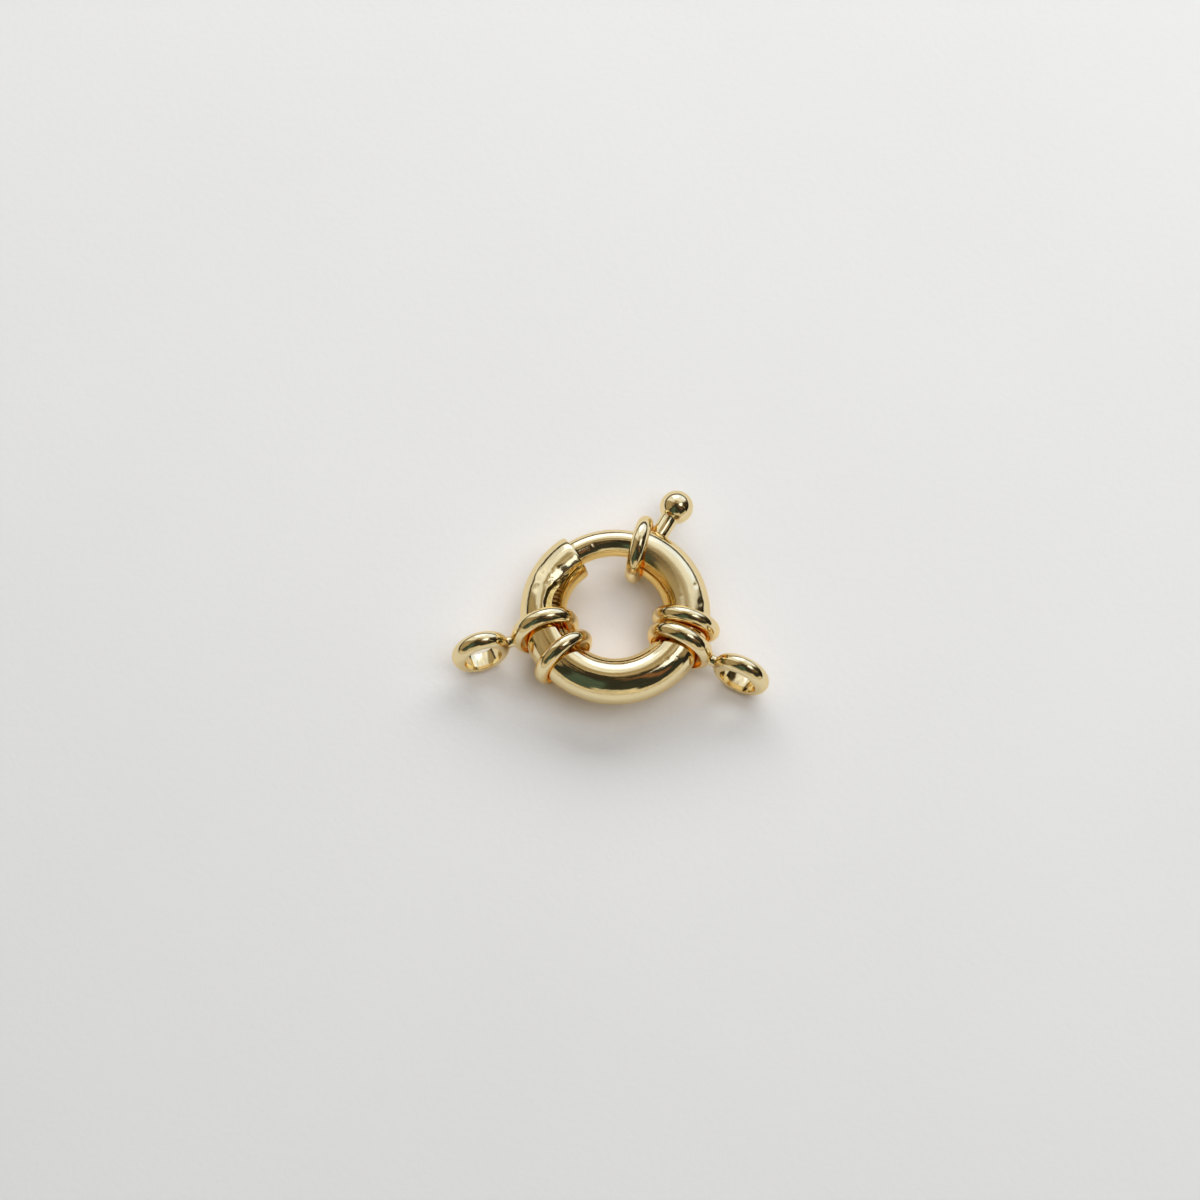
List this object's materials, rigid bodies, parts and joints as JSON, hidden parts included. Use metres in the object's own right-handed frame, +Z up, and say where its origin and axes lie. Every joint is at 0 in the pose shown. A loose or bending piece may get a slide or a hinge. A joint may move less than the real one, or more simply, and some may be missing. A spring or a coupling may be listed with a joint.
{
  "type": "jewellery clasp",
  "caption": "Hollow spring-ring clasp with a sliding bolt, ball trigger, domed collars and captive figure-of-eight links, for closing a necklace or bracelet.",
  "frame": {"origin": "on the surface that the clasp lies on, under the middle of its footprint", "axes": "+Z up out of the surface, parallel to the ring's axis; +X towards the right link; +Y towards the bolt and the trigger"},
  "size_m": [0.0298, 0.0214, 0.0066],
  "materials": {
    "gold_tube": "polished pale gold plate",
    "gold_bolt": "polished pale gold plate",
    "gold_collar": "polished pale gold plate",
    "gold_cast": "polished pale gold plate",
    "spring_wire": "drawn spring wire"
  },
  "bodies": {
    "ring": {"ring_tube": "gold_tube", "coil_spring": "spring_wire", "mouth_collar": "gold_collar", "left_collar": "gold_collar", "right_collar": "gold_collar"},
    "bolt": {"bolt": "gold_bolt", "trigger": "gold_bolt"},
    "left_link": {"left_link": "gold_cast"},
    "right_link": {"right_link": "gold_cast"}
  },
  "joints": [
    {"name": "bolt_slide", "type": "hinge", "parent": "ring", "child": "bolt", "pos_m": [0.00047, -0.00168, 0.0033], "axis": [0, 0, 1], "range_deg": [-50, 0], "stiffness_Nm_per_rad": 0.0005, "springref_deg": 17.19, "deforming": ["coil_spring"]},
    {"name": "left_link_slide", "type": "hinge", "parent": "ring", "child": "left_link", "pos_m": [0.00047, -0.00168, 0.0033], "axis": [0, 0, 1], "range_deg": [-100, 7]},
    {"name": "right_link_slide", "type": "hinge", "parent": "ring", "child": "right_link", "pos_m": [0.00047, -0.00168, 0.0033], "axis": [0, 0, 1], "range_deg": [-84, 0]}
  ]
}
